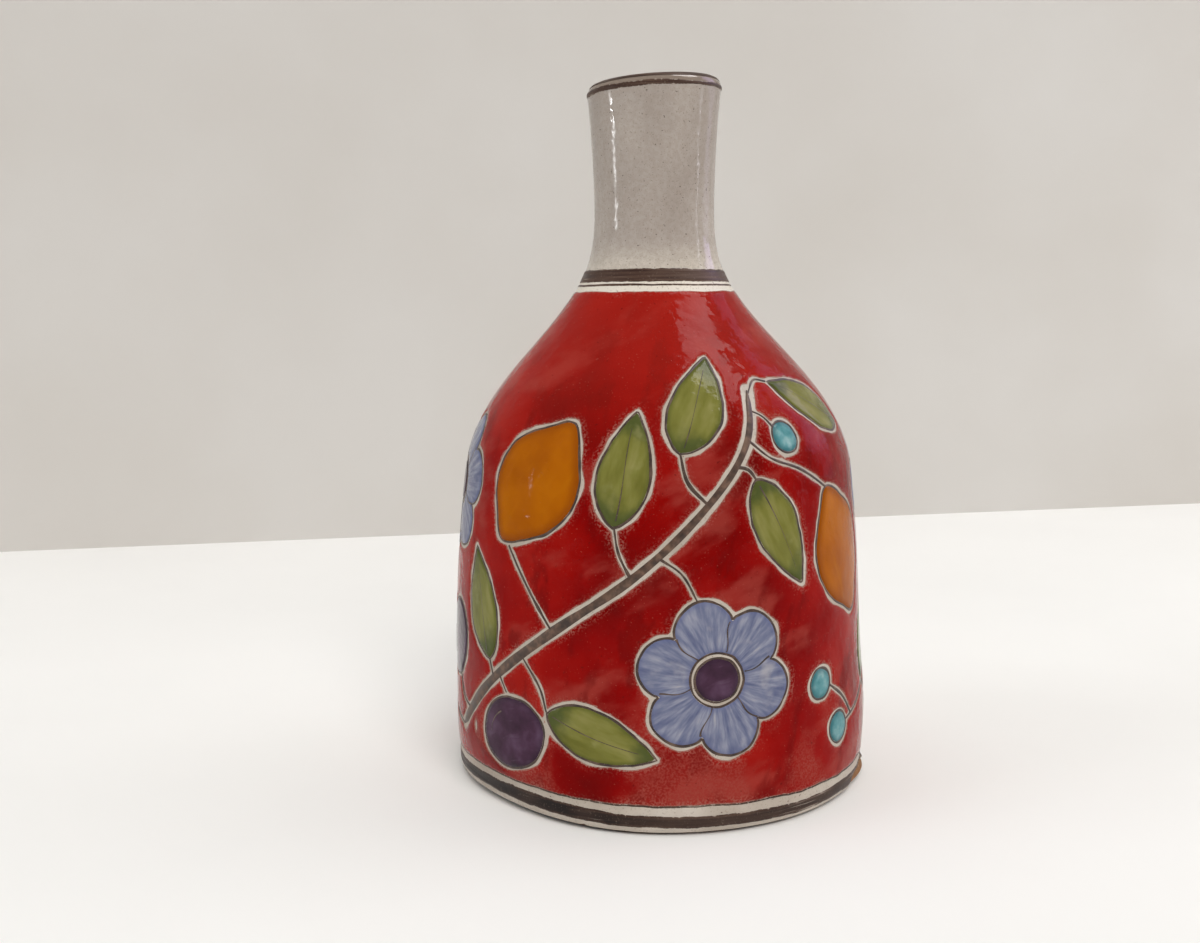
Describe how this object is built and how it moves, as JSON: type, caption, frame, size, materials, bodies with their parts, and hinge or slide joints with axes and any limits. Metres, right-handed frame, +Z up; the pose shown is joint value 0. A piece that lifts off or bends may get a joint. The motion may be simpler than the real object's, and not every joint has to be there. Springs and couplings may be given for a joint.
{
  "type": "ceramic vase",
  "caption": "Bottle-shaped ceramic vase with a cylindrical body, sloped shoulder and narrow neck, painted in glaze with fruit and flower branches on red.",
  "frame": {"origin": "centre of the flat underside, on the surface that the vase stands on", "axes": "+Z up along the axis of the vase, -Y towards the front that the picture shows, +X to its right"},
  "size_m": [0.1236, 0.1236, 0.2104],
  "materials": {
    "bare_clay": "unglazed fired earthenware, matte",
    "pale_ground": "matte pale slip with sandy specks",
    "neck_glaze": "glossy pale grey glaze with iron specks",
    "iron_oxide": "brushed dark brown oxide, streaky",
    "red_glaze": "glossy brushed red glaze",
    "ochre_glaze": "glossy brushed ochre glaze",
    "leaf_glaze": "glossy olive green glaze",
    "lavender_glaze": "satin lavender blue glaze",
    "purple_glaze": "glossy dark purple glaze",
    "turquoise_glaze": "glossy turquoise glaze"
  },
  "bodies": {
    "root": {"base_slab": "bare_clay", "berry_glaze_1": "turquoise_glaze", "berry_glaze_2": "turquoise_glaze", "berry_glaze_3": "turquoise_glaze", "berry_glaze_4": "turquoise_glaze", "berry_glaze_5": "turquoise_glaze", "berry_glaze_6": "turquoise_glaze", "blossom_glaze_1": "lavender_glaze", "blossom_glaze_2": "lavender_glaze", "blossom_glaze_3": "lavender_glaze", "blossom_glaze_4": "lavender_glaze", "body_wall": "bare_clay", "branch_glaze_1": "iron_oxide", "branch_glaze_2": "iron_oxide", "crest_line": "iron_oxide", "eye_glaze_1": "purple_glaze", "eye_glaze_2": "purple_glaze", "eye_glaze_3": "purple_glaze", "eye_glaze_4": "purple_glaze", "field_line": "iron_oxide", "foot_band": "iron_oxide", "ground_coat": "pale_ground", "leaf_glaze_1": "leaf_glaze", "leaf_glaze_10": "leaf_glaze", "leaf_glaze_11": "leaf_glaze", "leaf_glaze_12": "leaf_glaze", "leaf_glaze_13": "leaf_glaze", "leaf_glaze_14": "leaf_glaze", "leaf_glaze_2": "leaf_glaze", "leaf_glaze_3": "leaf_glaze", "leaf_glaze_4": "leaf_glaze", "leaf_glaze_5": "leaf_glaze", "leaf_glaze_6": "leaf_glaze", "leaf_glaze_7": "leaf_glaze", "leaf_glaze_8": "leaf_glaze", "leaf_glaze_9": "leaf_glaze", "lemon_glaze_1": "ochre_glaze", "lemon_glaze_2": "ochre_glaze", "lemon_glaze_3": "ochre_glaze", "lemon_glaze_4": "ochre_glaze", "neck_band": "iron_oxide", "neck_glaze": "neck_glaze", "neck_line": "iron_oxide", "neck_tube": "bare_clay", "plum_glaze_1": "purple_glaze", "plum_glaze_2": "purple_glaze", "plum_glaze_3": "purple_glaze", "plum_glaze_4": "purple_glaze", "red_field": "red_glaze", "rim_line": "iron_oxide", "shoulder": "bare_clay"}
  },
  "joints": []
}
